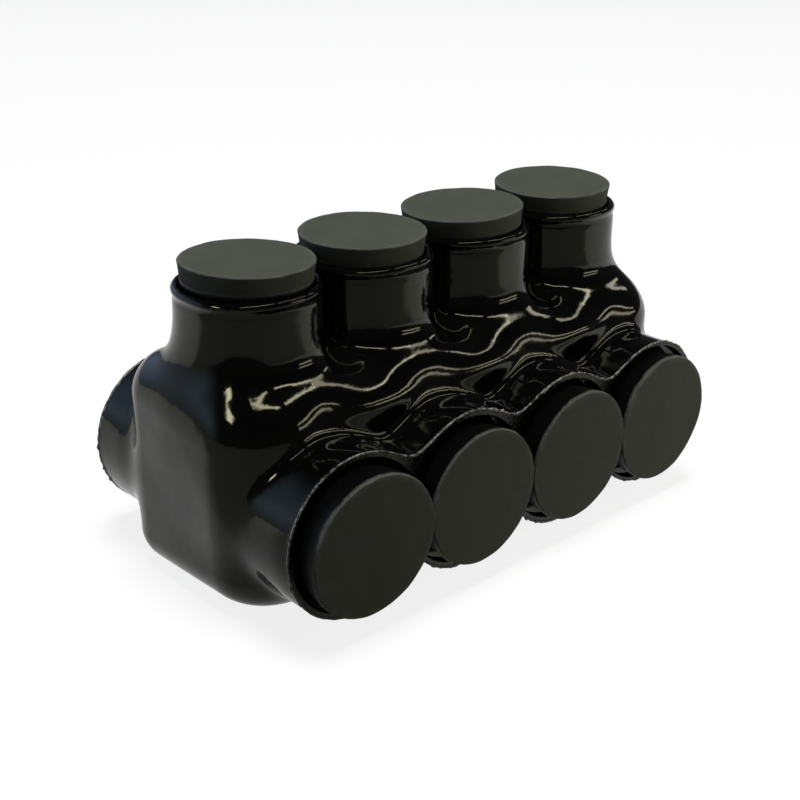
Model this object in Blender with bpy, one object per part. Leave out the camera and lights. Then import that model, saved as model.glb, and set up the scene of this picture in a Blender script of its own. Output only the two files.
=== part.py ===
"""Insulated multi-tap cable connector, four ports, wires entering from both long sides.

A bored aluminium block is dipped in black plastisol. The skin leaves a round collar over each clamp screw and
a wider collar round each end of each wire bore, and every collar is closed by a tapered rubber stopper.

Metres, +Z up. X runs along the row of ports, -Y is the front. The origin is on the underside, at its middle.
"""
import math

import bmesh
import bpy
from mathutils import Matrix, Vector

for old in list(bpy.data.objects):
    bpy.data.objects.remove(old, do_unlink=True)

# Running clearance between pieces that touch on the real part
GAP = 0.0003

# Rubber stoppers: caps in the screw collars, plugs in the wire collars
STOPPER_TAPER = math.radians(7.5)   # half angle
STOPPER_EDGE = 0.0004
STOPPER_SPACING = 0.0003    # between the widest faces of neighbours
CAP_FACE_R = 0.01166
CAP_GRIP = 0.0086           # length inside the collar
CAP_STANDOUT = 0.0041       # length in front of the collar
PLUG_FACE_R = 0.01255
PLUG_GRIP = 0.00833
PLUG_STANDOUT = 0.00437

# Aluminium block: rounded bar, cross-drilled for the wires and tapped for the screws
PORTS = 4
BLOCK_END = 0.0125          # last port axis to the end of the block
BLOCK_DEPTH = 0.0322
BLOCK_HEIGHT = 0.0330
BLOCK_CORNER_R = 0.0072     # upright corners
BLOCK_EDGE_R = 0.0040       # top and bottom edges
WIRE_BORE_D = 0.0152        # for wire up to 250 kcmil
BORE_CHAMFER = 0.0006

# Clamp screws
SCREW_D = 0.0159            # 5/8 inch
SCREW_LENGTH = 0.0110
SCREW_POINT = 0.0016        # chamfer at the foot
SCREW_CHAMFER = 0.0006
HEX_ACROSS_FLATS = 0.0080
HEX_FLOOR = 0.0040          # metal left under the socket

# Dipped skin
COAT = 0.0033               # skin thickness over the block
COLLAR_WALL = 0.00143       # screw collar at its rim
COLLAR_RISE = 0.0145        # rim above the top of the skin
COLLAR_WAIST = 0.0003       # the collar draws in half way up
COLLAR_FILLET = 0.0030      # sweep where a collar runs out into the body
WIRE_COLLAR_WALL = 0.00253  # at the trimmed end
WIRE_COLLAR_LIFT = 0.0022   # underside of the wire collars above the base
PLUG_FOOT_CLEAR = 0.00017   # from a plug's foot to the skin's long face
SEAM_SOFTNESS = 0.0023      # how far the seams between collars and body melt into fillets

# Fineness of the surfaces
ROUND_STEPS = 32
BORE_STEPS = 28
SKIN_VOXEL = 0.0010
SKIN_KEPT_FACES = 0.045


def stopper_radius(face_r, below_face):
    return face_r - below_face * math.tan(STOPPER_TAPER)


# Sizes and places that follow
PITCH = 2 * max(PLUG_FACE_R, CAP_FACE_R) + STOPPER_SPACING     # 1 inch
PORT_X = [(i - (PORTS - 1) / 2) * PITCH for i in range(PORTS)]
CAP_LENGTH = CAP_GRIP + CAP_STANDOUT
PLUG_LENGTH = PLUG_GRIP + PLUG_STANDOUT
COLLAR_R = stopper_radius(CAP_FACE_R, CAP_STANDOUT) + GAP + COLLAR_WALL
WIRE_COLLAR_R = stopper_radius(PLUG_FACE_R, PLUG_STANDOUT) + GAP + WIRE_COLLAR_WALL
BLOCK_SIZE = Vector(((PORTS - 1) * PITCH + 2 * BLOCK_END, BLOCK_DEPTH, BLOCK_HEIGHT))
BLOCK_MID_Z = COAT + BLOCK_HEIGHT / 2
BLOCK_TOP_Z = COAT + BLOCK_HEIGHT
BODY_SIZE = BLOCK_SIZE + Vector((2 * COAT, 2 * COAT, 2 * COAT))
BODY_TOP_Z = BODY_SIZE.z
RIM_Z = BODY_TOP_Z + COLLAR_RISE
WIRE_Z = WIRE_COLLAR_LIFT + WIRE_COLLAR_R
PLUG_FOOT_Y = BODY_SIZE.y / 2 + PLUG_FOOT_CLEAR
TRIM_Y = PLUG_FOOT_Y + PLUG_GRIP
CAP_FOOT_Z = RIM_Z - CAP_GRIP
SCREW_FOOT_Z = WIRE_Z + WIRE_BORE_D / 2 + GAP
HEX_DEPTH = SCREW_LENGTH - HEX_FLOOR


def material(name, colour, roughness, metallic=0.0):
    mat = bpy.data.materials.new(name)
    mat.use_nodes = True
    shader = mat.node_tree.nodes["Principled BSDF"]
    shader.inputs["Base Color"].default_value = (*colour, 1.0)
    shader.inputs["Roughness"].default_value = roughness
    shader.inputs["Metallic"].default_value = metallic
    return mat


def mesh_from(bm, name):
    bmesh.ops.recalc_face_normals(bm, faces=bm.faces)
    mesh = bpy.data.meshes.new(name)
    bm.to_mesh(mesh)
    bm.free()
    mesh.shade_smooth()
    mesh.set_sharp_from_angle(angle=math.radians(35))
    return mesh


def revolve(name, profile, steps=ROUND_STEPS):
    """Solid turned around Z from (radius, height) points that start and end on the axis."""
    bm = bmesh.new()
    line = [bm.verts.new((r, 0, z)) for r, z in profile]
    edges = [bm.edges.new(pair) for pair in zip(line, line[1:])]
    bmesh.ops.spin(bm, geom=line + edges, cent=(0, 0, 0), axis=(0, 0, 1), dvec=(0, 0, 0),
                   angle=2 * math.pi, steps=steps, use_duplicate=False)
    bmesh.ops.remove_doubles(bm, verts=bm.verts, dist=1e-6)
    bmesh.ops.dissolve_limit(bm, angle_limit=math.radians(0.1), verts=bm.verts, edges=bm.edges)
    return mesh_from(bm, name)


def rounded_bar(name, size, corner_r, edge_r, corner_steps, edge_steps):
    """Bar with rounded upright corners and then rounded top and bottom edges."""
    bm = bmesh.new()
    bmesh.ops.create_cube(bm, size=1.0)
    bmesh.ops.scale(bm, vec=size, verts=bm.verts)
    uprights = [e for e in bm.edges if abs(e.verts[0].co.z - e.verts[1].co.z) > size.z / 2]
    bmesh.ops.bevel(bm, geom=uprights, offset=corner_r, segments=corner_steps, profile=0.5,
                    affect="EDGES", clamp_overlap=True)
    rims = [e for e in bm.edges if abs(e.verts[0].co.z - e.verts[1].co.z) < size.z / 2]
    bmesh.ops.bevel(bm, geom=rims, offset=edge_r, segments=edge_steps, profile=0.5,
                    affect="EDGES", clamp_overlap=True)
    return mesh_from(bm, name)


def gathered(name, shapes):
    """One mesh from (mesh, matrix) pairs."""
    bm = bmesh.new()
    for mesh, matrix in shapes:
        start = len(bm.verts)
        bm.from_mesh(mesh)
        bm.verts.ensure_lookup_table()
        bmesh.ops.transform(bm, matrix=matrix, verts=bm.verts[start:])
    return mesh_from(bm, name)


def place(name, mesh, mat=None, matrix=Matrix()):
    ob = bpy.data.objects.new(name, mesh)
    bpy.context.scene.collection.objects.link(ob)
    ob.matrix_world = matrix
    if mat:
        mesh.materials.clear()
        mesh.materials.append(mat)
    return ob


def cutter(name, mesh, matrix=Matrix()):
    ob = place(name, mesh, matrix=matrix)
    ob.hide_render = True
    ob.display_type = "WIRE"
    return ob


def cut(ob, tool):
    mod = ob.modifiers.new("cut_" + tool.name, "BOOLEAN")
    mod.operation = "DIFFERENCE"
    mod.solver = "EXACT"
    mod.object = tool


def in_face_order(ob):
    """The object's evaluated mesh, its edges numbered as the faces use them, the same on every machine."""
    source = ob.evaluated_get(bpy.context.evaluated_depsgraph_get()).to_mesh()
    bm = bmesh.new()
    verts = [bm.verts.new(v.co) for v in source.vertices]
    for face in source.polygons:
        bm.faces.new([verts[i] for i in face.vertices])
    ob.to_mesh_clear()
    return mesh_from(bm, ob.name)


def at(x, y, z):
    return Matrix.Translation((x, y, z))


FACING_FRONT = Matrix.Rotation(math.radians(90), 4, "X")    # local +Z turns to -Y
FACING_REAR = Matrix.Rotation(math.radians(-90), 4, "X")    # local +Z turns to +Y

black_plastisol = material("black_plastisol", (0.010, 0.010, 0.011), 0.10)
grey_rubber = material("grey_rubber", (0.060, 0.061, 0.054), 0.80)
aluminium = material("aluminium", (0.78, 0.78, 0.77), 0.38, 1.0)
screw_metal = material("screw_metal", (0.70, 0.70, 0.69), 0.30, 1.0)

# Connector block


def wire_bore_profile():
    """Through bore, opened by a chamfer at both faces of the block."""
    r, half, c = WIRE_BORE_D / 2, BLOCK_DEPTH / 2, BORE_CHAMFER
    over = 0.001
    side = [(r + c + over, half + over), (r, half - c)]
    return [(0, half + over)] + side + [(p, -q) for p, q in reversed(side)] + [(0, -half - over)]


def screw_hole_profile():
    """From inside the wire bore up through the top of the block."""
    r, c, over = SCREW_D / 2 + GAP, BORE_CHAMFER, 0.001
    return [(0, WIRE_Z), (r, WIRE_Z), (r, BLOCK_TOP_Z - c), (r + c + over, BLOCK_TOP_Z + over),
            (0, BLOCK_TOP_Z + over)]


block = place("connector_block",
              rounded_bar("connector_block", BLOCK_SIZE, BLOCK_CORNER_R, BLOCK_EDGE_R, 4, 2),
              aluminium, at(0, 0, BLOCK_MID_Z))
wire_bore = revolve("wire_bore", wire_bore_profile(), BORE_STEPS)
screw_hole = revolve("screw_hole", screw_hole_profile(), BORE_STEPS)
cut(block, cutter("wire_bores", gathered("wire_bores", [
    (wire_bore, at(x, 0, WIRE_Z) @ FACING_FRONT) for x in PORT_X])))
cut(block, cutter("screw_holes", gathered("screw_holes", [(screw_hole, at(x, 0, 0)) for x in PORT_X])))

# Clamp screws: chamfered foot and crown, hex socket, each standing on its axis


def screw_profile():
    r, length = SCREW_D / 2, SCREW_LENGTH
    return [(0, 0), (r - SCREW_POINT, 0), (r, SCREW_POINT), (r, length - SCREW_CHAMFER),
            (r - SCREW_CHAMFER, length), (0, length)]


def hex_socket_mesh():
    over = 0.001
    bm = bmesh.new()
    corner_r = HEX_ACROSS_FLATS / 2 / math.cos(math.pi / 6)
    bmesh.ops.create_cone(bm, cap_ends=True, segments=6, radius1=corner_r, radius2=corner_r,
                          depth=HEX_DEPTH + over,
                          matrix=at(0, 0, SCREW_LENGTH - HEX_DEPTH + (HEX_DEPTH + over) / 2))
    return mesh_from(bm, "hex_socket")


screw_blank = revolve("set_screw", screw_profile(), BORE_STEPS)
socket_mesh = hex_socket_mesh()
for i, x in enumerate(PORT_X, 1):
    seat = at(x, 0, SCREW_FOOT_Z)
    screw = place(f"set_screw_{i}", screw_blank, screw_metal, seat)
    cut(screw, cutter(f"hex_socket_{i}", socket_mesh, seat))

# Rubber stoppers: straight taper from a wide face to a narrow foot, local +Z towards the face


def stopper_profile(face_r, length):
    e = STOPPER_EDGE
    foot_r = stopper_radius(face_r, length)
    return [(0, 0), (foot_r - e, 0), (stopper_radius(face_r, length - e), e),
            (stopper_radius(face_r, e), length - e), (face_r - e, length), (0, length)]


cap_mesh = revolve("screw_cap", stopper_profile(CAP_FACE_R, CAP_LENGTH))
plug_mesh = revolve("port_plug", stopper_profile(PLUG_FACE_R, PLUG_LENGTH))
for i, x in enumerate(PORT_X, 1):
    place(f"screw_cap_{i}", cap_mesh, grey_rubber, at(x, 0, CAP_FOOT_Z))
    place(f"front_port_plug_{i}", plug_mesh, grey_rubber, at(x, -PLUG_FOOT_Y, WIRE_Z) @ FACING_FRONT)
    place(f"rear_port_plug_{i}", plug_mesh, grey_rubber, at(x, PLUG_FOOT_Y, WIRE_Z) @ FACING_REAR)

# Insulating cover: the outer form is melted together from a rounded body, turned screw collars and the
# barrels of the wire collars, then trimmed flat and hollowed for the block and the stoppers.


def collar_profile():
    """Screw collar with a drawn-in waist and a sweep that runs out into the top of the body."""
    f = COLLAR_FILLET
    foot = BODY_TOP_Z - 2 * f
    turns = [math.radians(90 - 90 * k / 8) for k in range(9)]
    sweep = [(COLLAR_R + f * (1 - math.cos(a)), BODY_TOP_Z + f * (1 - math.sin(a))) for a in turns]
    straight = RIM_Z - BODY_TOP_Z - f
    shaft = []
    for k in range(1, 9):
        t = k / 8
        shaft.append((COLLAR_R - COLLAR_WAIST * math.sin(math.pi * t), BODY_TOP_Z + f + straight * t))
    return [(0, foot), (COLLAR_R - f, foot)] + sweep + shaft + [(0, RIM_Z)]


def barrel_profile():
    over = 0.003
    end = TRIM_Y + over
    return [(0, -end), (WIRE_COLLAR_R, -end), (WIRE_COLLAR_R, end), (0, end)]


def cap_bore_profile():
    """Well over the screw, then a seat with the cap's own taper."""
    over = 0.002
    well_r = stopper_radius(CAP_FACE_R, CAP_LENGTH) + GAP
    mouth_z = RIM_Z + over
    mouth_r = stopper_radius(CAP_FACE_R, RIM_Z + CAP_STANDOUT - mouth_z) + GAP
    return [(0, BLOCK_TOP_Z - over), (well_r, BLOCK_TOP_Z - over), (well_r, CAP_FOOT_Z), (mouth_r, mouth_z),
            (0, mouth_z)]


def plug_bore_profile():
    """Straight through both rows, with a seat of the plug's own taper at each end."""
    over = 0.002
    well_r = stopper_radius(PLUG_FACE_R, PLUG_LENGTH) + GAP
    mouth_y = TRIM_Y + over
    mouth_r = stopper_radius(PLUG_FACE_R, TRIM_Y + PLUG_STANDOUT - mouth_y) + GAP
    side = [(mouth_r, mouth_y), (well_r, PLUG_FOOT_Y)]
    return [(0, mouth_y)] + side + [(p, -q) for p, q in reversed(side)] + [(0, -mouth_y)]


def slab(low, high):
    low, high = Vector(low), Vector(high)
    bm = bmesh.new()
    bmesh.ops.create_cube(bm, size=1.0)
    bmesh.ops.scale(bm, vec=high - low, verts=bm.verts)
    return mesh_from(bm, "slab"), Matrix.Translation((low + high) / 2)


skim = 0.0002               # a little is left below the base, and trimmed off dead flat
outer_size = BODY_SIZE + Vector((0, 0, skim))
outer_body = rounded_bar("outer_body", outer_size, BLOCK_CORNER_R + COAT, BLOCK_EDGE_R + COAT, 10, 8)
collar = revolve("collar", collar_profile(), 96)
barrel = revolve("barrel", barrel_profile(), 96)
form = cutter("cover_form", gathered("cover_form", [
    (outer_body, at(0, 0, BODY_TOP_Z - outer_size.z / 2))]
    + [(collar, at(x, 0, 0)) for x in PORT_X]
    + [(barrel, at(x, 0, WIRE_Z) @ FACING_FRONT) for x in PORT_X]))
melt = form.modifiers.new("melt_together", "REMESH")
melt.mode = "VOXEL"
melt.voxel_size = SKIN_VOXEL
cover = place("insulating_cover", in_face_order(form), black_plastisol)

soften = cover.modifiers.new("soften_seams", "SMOOTH")
soften.factor = 0.5
soften.iterations = round(4 * (SEAM_SOFTNESS / SKIN_VOXEL) ** 2)
thin = cover.modifiers.new("fewer_faces", "DECIMATE")
thin.decimate_type = "COLLAPSE"
thin.ratio = SKIN_KEPT_FACES

wide, reach = BODY_SIZE.x, 0.02
cut(cover, cutter("trims", gathered("trims", [
    slab((-wide, -TRIM_Y - reach, -reach), (wide, -TRIM_Y, RIM_Z)),
    slab((-wide, TRIM_Y, -reach), (wide, TRIM_Y + reach, RIM_Z)),
    slab((-wide, -BODY_SIZE.y / 2, -reach), (wide, BODY_SIZE.y / 2, 0))])))
room = Vector((2 * GAP, 2 * GAP, 2 * GAP))
cut(cover, cutter("block_room", rounded_bar("block_room", BLOCK_SIZE + room, BLOCK_CORNER_R + GAP,
                                            BLOCK_EDGE_R + GAP, 4, 2), at(0, 0, BLOCK_MID_Z)))
cap_bore = revolve("cap_bore", cap_bore_profile())
plug_bore = revolve("plug_bore", plug_bore_profile())
cut(cover, cutter("cap_bores", gathered("cap_bores", [(cap_bore, at(x, 0, 0)) for x in PORT_X])))
cut(cover, cutter("plug_bores", gathered("plug_bores", [
    (plug_bore, at(x, 0, WIRE_Z) @ FACING_FRONT) for x in PORT_X])))
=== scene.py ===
"""Looks of the insulated multi-tap connector: a dipped black skin, rubber stoppers, a bored aluminium block."""
import itertools
import math

import bmesh
import bpy
import numpy as np
from mathutils import Matrix, Vector


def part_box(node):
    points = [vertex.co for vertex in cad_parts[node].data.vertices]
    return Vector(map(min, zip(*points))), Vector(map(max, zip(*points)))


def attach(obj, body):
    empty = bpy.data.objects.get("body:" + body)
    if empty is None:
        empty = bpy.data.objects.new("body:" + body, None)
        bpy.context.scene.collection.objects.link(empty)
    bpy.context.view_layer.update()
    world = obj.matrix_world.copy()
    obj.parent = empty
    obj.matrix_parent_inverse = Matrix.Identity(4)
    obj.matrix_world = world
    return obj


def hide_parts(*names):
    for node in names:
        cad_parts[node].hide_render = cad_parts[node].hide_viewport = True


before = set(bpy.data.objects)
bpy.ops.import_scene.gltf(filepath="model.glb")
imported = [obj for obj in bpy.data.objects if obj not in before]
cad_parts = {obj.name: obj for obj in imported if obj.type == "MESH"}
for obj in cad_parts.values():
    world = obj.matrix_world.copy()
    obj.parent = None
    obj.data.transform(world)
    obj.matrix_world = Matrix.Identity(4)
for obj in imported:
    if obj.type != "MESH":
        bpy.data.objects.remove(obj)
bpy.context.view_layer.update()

# Everything below is worked out in millimetres and turned into metres when a mesh is made.
MM = 0.001
PORTS = (1, 2, 3, 4)
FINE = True
ROUND = 96 if FINE else 48                  # steps round a bore or a well
STOPPER_ROUND = 160 if FINE else 64         # steps round a stopper
NET_STEP = 0.62 if FINE else 1.1            # how fine the skin's net is
NET_LOW, NET_HIGH = (-58, -30.4, -3), (58, 30.4, 56.5)


def span(node):
    low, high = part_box(node)
    return np.array(low) / MM, np.array(high) / MM


def middle(node):
    low, high = span(node)
    return (low + high) / 2


PORT_X = [middle(f"set_screw_{i}")[0] for i in PORTS]
PITCH = float(PORT_X[1] - PORT_X[0])
WIRE_Z = middle("front_port_plug_1")[2]
CAP_FOOT, CAP_FACE = span("screw_cap_1")[0][2], span("screw_cap_1")[1][2]
CAP_R = (span("screw_cap_1")[1][0] - span("screw_cap_1")[0][0]) / 2
PLUG_FACE, PLUG_FOOT = -span("front_port_plug_1")[0][1], -span("front_port_plug_1")[1][1]
PLUG_R = (span("front_port_plug_1")[1][0] - span("front_port_plug_1")[0][0]) / 2
BLOCK_LOW, BLOCK_HIGH = span("connector_block")
BLOCK_TOP = BLOCK_HIGH[2]
STOPPER_TAPER = math.tan(math.radians(7.5))

# The skin's own sizes: the body
BODY_HALF = (53.9, 19.4)
BODY_TOP = BLOCK_TOP + 3.3
FRONT_CORNER, REAR_CORNER = 11.4, 8.0       # upright corners
FRONT_EDGE, LEFT_EDGE = 7.9, 9.6            # top edge along the front, and at the left end of it
REAR_EDGE = 6.6                             # rear top edge
FRONT_FOOT, REAR_FOOT = 7.2, 6.4            # bottom edge at the front and the rear
FRONT_TO_REAR = (-14, 12)                   # where along Y the front's edges pass into the rear's
LEFT_END = (42, 51)                         # how far to the left the front edge widens
SHOULDER_OUT, SHOULDER_UP = 17.0, 36.0      # middle of the swell along the long top edges
SWELL, SWELL_TURN, SWELL_LONG, SWELL_WIDE = 0.60, 2.6, 6.5, 4.5

# The screw collars
RIM = 54.1                                  # their height
RIM_R, WAIST_R, LIP_ROUND = 12.8, 12.15, 0.95
LIP_FLARE = 2.0                             # how quickly the flare under the lip dies away
BEAD, GROOVE = (0.16, 1.0, 0.55), (-0.14, 2.1, 0.7)     # under the lip: how far out, how far down, how wide
SQUARING, SQUARING_FALL = 0.35, 3           # their plan turns a little square below the lip
COLLAR_END, COLLAR_END_SOFT = 25, 9         # the height at which their form runs out, and over what width
COLLAR_SETTLE = [(-0.3, 0.0, 0.3), (-0.1, 0.0, 0.7), (-0.2, 0.0, 0.9), (-0.3, 0.0, 0.95)]   # across, back, up

# The wire collars
WIRE_COLLAR_R = 14.8
TRIM = 27.9                                 # how far out they are sawn off
SPARE = 1.0                                 # how far the dip runs past the cut before it is sawn
FRONT_GROWTH = (0.0, 0.0, 0.0, -0.3)        # the skin is thinner on the last front collar
REAR_LIFT = 1.15                            # the skin of the rear collars sits a little high on their plugs
REAR_GROWTH = 0.35                          # and is a little thicker
GAP_R, REAR_GAP_R = 13.85, 13.25            # the gap between a plug and the rim of its collar, front and rear

# Widths over which the forms melt together
SEAM, TOP_CROTCH = 3.6, 1.3                 # body to wire collars, and one screw collar to the next
CROTCH_BELOW, CROTCH_ABOVE = 1.5, 11.5      # the dip pools in the valleys on top of the wire collars
CROTCH_RISE = (WIRE_Z - 4, WIRE_Z + 8)      # heights between which the one width passes into the other
SWEEP, LEFT_SWEEP, RIGHT_SWEEP = 8.5, 13.0, 10.6     # the sweep up into the screw collars, wider at the ends
BOTH_ENDS = (41, 49)                        # how far from the middle it widens

# The metal inside
BLOCK_CORNER, BLOCK_EDGE = 7.2, 4.0
BORE_R, SCREW_HOLE_R, CHAMFER = 7.6, 8.25, 0.6
KEY, SOCKET_DEPTH = 8.0, 7.0                # the screws' hex sockets, across their flats
THREAD_PITCH, THREAD_DEPTH = 1.41, 0.42
LOOSE = 0.3                                 # room between the block and the skin


# The dipped skin ------------------------------------------------------------------------------------

def melt(a, b, width):
    """The nearer of two surfaces, with the seam between them filled over the given width."""
    near = np.maximum(width - np.abs(a - b), 0) / width
    return np.minimum(a, b) - near ** 3 * width / 6


def eased(value, start, stop):
    """Nought up to the start and one from the stop on, with a smooth rise between them."""
    part = np.clip((value - start) / (stop - start), 0, 1)
    return part * part * (3 - 2 * part)


def body_form(x, y, z):
    """Distance from the rounded bar round the block."""
    corner = np.where(y < 0, FRONT_CORNER, REAR_CORNER)
    ax = np.abs(x) - BODY_HALF[0] + corner
    ay = np.abs(y) - BODY_HALF[1] + corner
    plan = np.hypot(np.maximum(ax, 0), np.maximum(ay, 0)) + np.minimum(np.maximum(ax, ay), 0) - corner
    back = eased(y, *FRONT_TO_REAR)
    front = FRONT_EDGE + (LEFT_EDGE - FRONT_EDGE) * eased(-x, *LEFT_END)
    edge = np.where(z < BODY_TOP / 2, FRONT_FOOT + (REAR_FOOT - FRONT_FOOT) * back,
                    front + (REAR_EDGE - front) * back)
    out = plan + edge
    up = np.abs(z - BODY_TOP / 2) - BODY_TOP / 2 + edge
    return np.hypot(np.maximum(out, 0), np.maximum(up, 0)) + np.minimum(np.maximum(out, up), 0) - edge


def wire_collar_form(x, y, z):
    """Distance from the row of bars that run from each front wire port to the rear one."""
    crotch = CROTCH_BELOW + (CROTCH_ABOVE - CROTCH_BELOW) * eased(z, *CROTCH_RISE)
    rear = np.clip((y - 8) / 14, 0, 1)
    axis, radius = WIRE_Z + REAR_LIFT * rear, WIRE_COLLAR_R + REAR_GROWTH * rear
    row = None
    for port, growth in zip(PORT_X, FRONT_GROWTH):
        one = np.hypot(x - port, z - axis) - radius - growth * (1 - rear)
        row = one if row is None else melt(row, one, crotch)
    return row


def screw_collar_form(x, y, z):
    """Distance from the row of upright collars, each with a rolled lip, a bead and a groove under it."""
    row = None
    for port, (across, back, lift) in zip(PORT_X, COLLAR_SETTLE):
        rim = RIM + lift
        below = rim - z
        radius = WAIST_R + (RIM_R - WAIST_R) * np.exp(-np.maximum(below, 0) / LIP_FLARE)
        for raised_by, depth, width in (BEAD, GROOVE):
            radius = radius + raised_by * np.exp(-((below - depth) / width) ** 2)
        square = 2 + SQUARING * (1 - np.exp(-np.maximum(below, 0) / SQUARING_FALL))
        out = (np.abs(x - port - across) ** square + np.abs(y - back) ** square) ** (1 / square)
        out = out - radius + LIP_ROUND
        up = LIP_ROUND - below
        one = np.hypot(np.maximum(out, 0), np.maximum(up, 0)) + np.minimum(np.maximum(out, up), 0) - LIP_ROUND
        one = -melt(-one, z - COLLAR_END, COLLAR_END_SOFT)
        row = one if row is None else melt(row, one, TOP_CROTCH)
    return row


def skin_form(x, y, z):
    """Distance from the whole skin, before it sags."""
    form = melt(body_form(x, y, z), wire_collar_form(x, y, z), SEAM)
    form = np.maximum(form, np.abs(y) - TRIM - SPARE)
    sweep = SWEEP + (np.where(x < 0, LEFT_SWEEP, RIGHT_SWEEP) - SWEEP) * eased(np.abs(x), *BOTH_ENDS)
    return melt(form, screw_collar_form(x, y, z), sweep)


def waves(points, spacing, seed):
    """Smooth uneven height, from about -1 to 1, with its bumps a spacing apart."""
    table = np.random.default_rng(seed).uniform(-1, 1, (32, 32, 32))
    cell = points / spacing
    low = np.floor(cell).astype(int)
    part = cell - low
    part = part ** 3 * (part * (part * 6 - 15) + 10)
    height = np.zeros(len(points))
    for corner in itertools.product((0, 1), repeat=3):
        weight = np.prod(np.where(corner, part, 1 - part), axis=1)
        i, j, k = ((low + corner) % 32).T
        height += weight * table[i, j, k]
    return height


def shoulder_swell(x, y, z):
    """The long top edges draw in above the gaps between ports and swell above each port, like a draped cloth."""
    beat = np.cos((x - PORT_X[0]) / PITCH * 2 * math.pi) * np.clip((47 - np.abs(x)) / 10, 0, 1)
    along = ((z - SHOULDER_UP) - (np.abs(y) - SHOULDER_OUT)) / math.sqrt(2)
    across = ((z - SHOULDER_UP) + (np.abs(y) - SHOULDER_OUT)) / math.sqrt(2)
    fades = np.exp(-(along / SWELL_LONG) ** 2) * np.exp(-(across / SWELL_WIDE) ** 2)
    return SWELL * beat * np.tanh(along / SWELL_TURN) * fades


def skin_surface(points):
    """Distance from the skin with the sags and ripples of the dip on it."""
    x, y, z = points.T
    wet = np.clip((z - 2) / 8, 0, 1)        # the flat underside stays flat
    sag = 0.16 * waves(points * (1, 1, 0.6), 11, 3) + 0.07 * waves(points, 5.2, 4)
    return skin_form(x, y, z) - wet * sag - shoulder_swell(x, y, z)


def slope(points, step=0.02):
    """Distance from the skin at each point, and the direction in which it grows."""
    here = skin_surface(points)
    grad = np.stack([skin_surface(points + np.eye(3)[k] * step) - here for k in range(3)], 1) / step
    return here, grad


def surface_net(form, low, high, step):
    """Quads over the place where a form is nought."""
    counts = [int(math.ceil((high[k] - low[k]) / step)) + 1 for k in range(3)]
    axes = [low[k] + step * np.arange(counts[k]) for k in range(3)]
    value = np.broadcast_to(form(*np.meshgrid(*axes, indexing="ij", sparse=True)), counts).astype(np.float32)
    inside = value < 0
    filled = np.zeros([c - 1 for c in counts], np.int8)
    corners = np.array(list(itertools.product((0, 1), repeat=3)))
    for dx, dy, dz in corners:
        filled += inside[dx:counts[0] - 1 + dx, dy:counts[1] - 1 + dy, dz:counts[2] - 1 + dz]
    crossed = (filled > 0) & (filled < 8)
    cells = np.argwhere(crossed)
    number = np.full(crossed.shape, -1)
    number[crossed] = np.arange(len(cells))
    place, hits = np.zeros((len(cells), 3)), np.zeros(len(cells))
    for a, b in itertools.combinations(corners, 2):
        if np.abs(a - b).sum() != 1:
            continue
        va, vb = value[tuple((cells + a).T)], value[tuple((cells + b).T)]
        cuts = (va < 0) != (vb < 0)
        place[cuts] += a + (b - a) * (va / (va - vb + 1e-12))[cuts][:, None]
        hits[cuts] += 1
    points = np.array(low) + (cells + place / hits[:, None]) * step
    quads = []
    for axis in range(3):
        ahead, behind = [slice(None)] * 3, [slice(None)] * 3
        ahead[axis], behind[axis] = slice(1, None), slice(0, -1)
        edges = np.argwhere(inside[tuple(ahead)] != inside[tuple(behind)])
        others = [k for k in range(3) if k != axis]
        corner = []
        for da, db in ((1, 1), (0, 1), (0, 0), (1, 0)):
            cell = edges.copy()
            cell[:, others[0]] -= da
            cell[:, others[1]] -= db
            corner.append(number[tuple(cell.T)])
        quad = np.stack(corner, 1)
        outward = inside[tuple(edges.T)] == (axis != 1)
        quad[~outward] = quad[~outward][:, ::-1]
        quads.append(quad)
    return points, np.concatenate(quads)


def evened(points, quads, rounds):
    """Moves each point towards the middle of the quads round it, then back onto the surface."""
    for _ in range(rounds):
        total, count = np.zeros_like(points), np.zeros(len(points))
        centre = points[quads].mean(axis=1)
        for k in range(4):
            np.add.at(total, quads[:, k], centre)
            np.add.at(count, quads[:, k], 1)
        points = points + 0.6 * (total / count[:, None] - points)
        points = onto_surface(points, 1)
    return onto_surface(points, 2)


def onto_surface(points, rounds):
    """Moves each point straight onto the skin."""
    for _ in range(rounds):
        away, grad = slope(points)
        steep = np.maximum((grad * grad).sum(axis=1), 0.2)
        points = points - np.clip(away / steep, -0.4, 0.4)[:, None] * grad
    return points


def mesh_of(name, points, faces):
    mesh = bpy.data.meshes.new(name)
    mesh.from_pydata((np.asarray(points) * MM).tolist(), [], [list(f) for f in faces])
    mesh.validate()
    mesh.shade_smooth()
    return mesh


def piece(name, mesh, *materials):
    ob = bpy.data.objects.new(name, mesh)
    bpy.context.scene.collection.objects.link(ob)
    for mat in materials:
        mesh.materials.append(mat)
    return ob


def ring(radius, height, steps):
    turn = np.arange(steps) * 2 * math.pi / steps
    return np.stack([radius * np.cos(turn), radius * np.sin(turn), np.full(steps, height)], 1)


def closed_rings(low, rings, high):
    """Points and faces of a closed shape through rings of points, with its middle at one height at each end."""
    steps = len(rings[0])
    points = np.concatenate([[[0, 0, low]]] + rings + [[[0, 0, high]]])
    last = len(points) - 1
    faces = [(0, 1 + (k + 1) % steps, 1 + k) for k in range(steps)]
    for a in range(1, last - steps, steps):
        faces += [(a + k, a + (k + 1) % steps, a + steps + (k + 1) % steps, a + steps + k) for k in range(steps)]
    faces += [(last - steps + k, last - steps + (k + 1) % steps, last) for k in range(steps)]
    return points, faces


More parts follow.
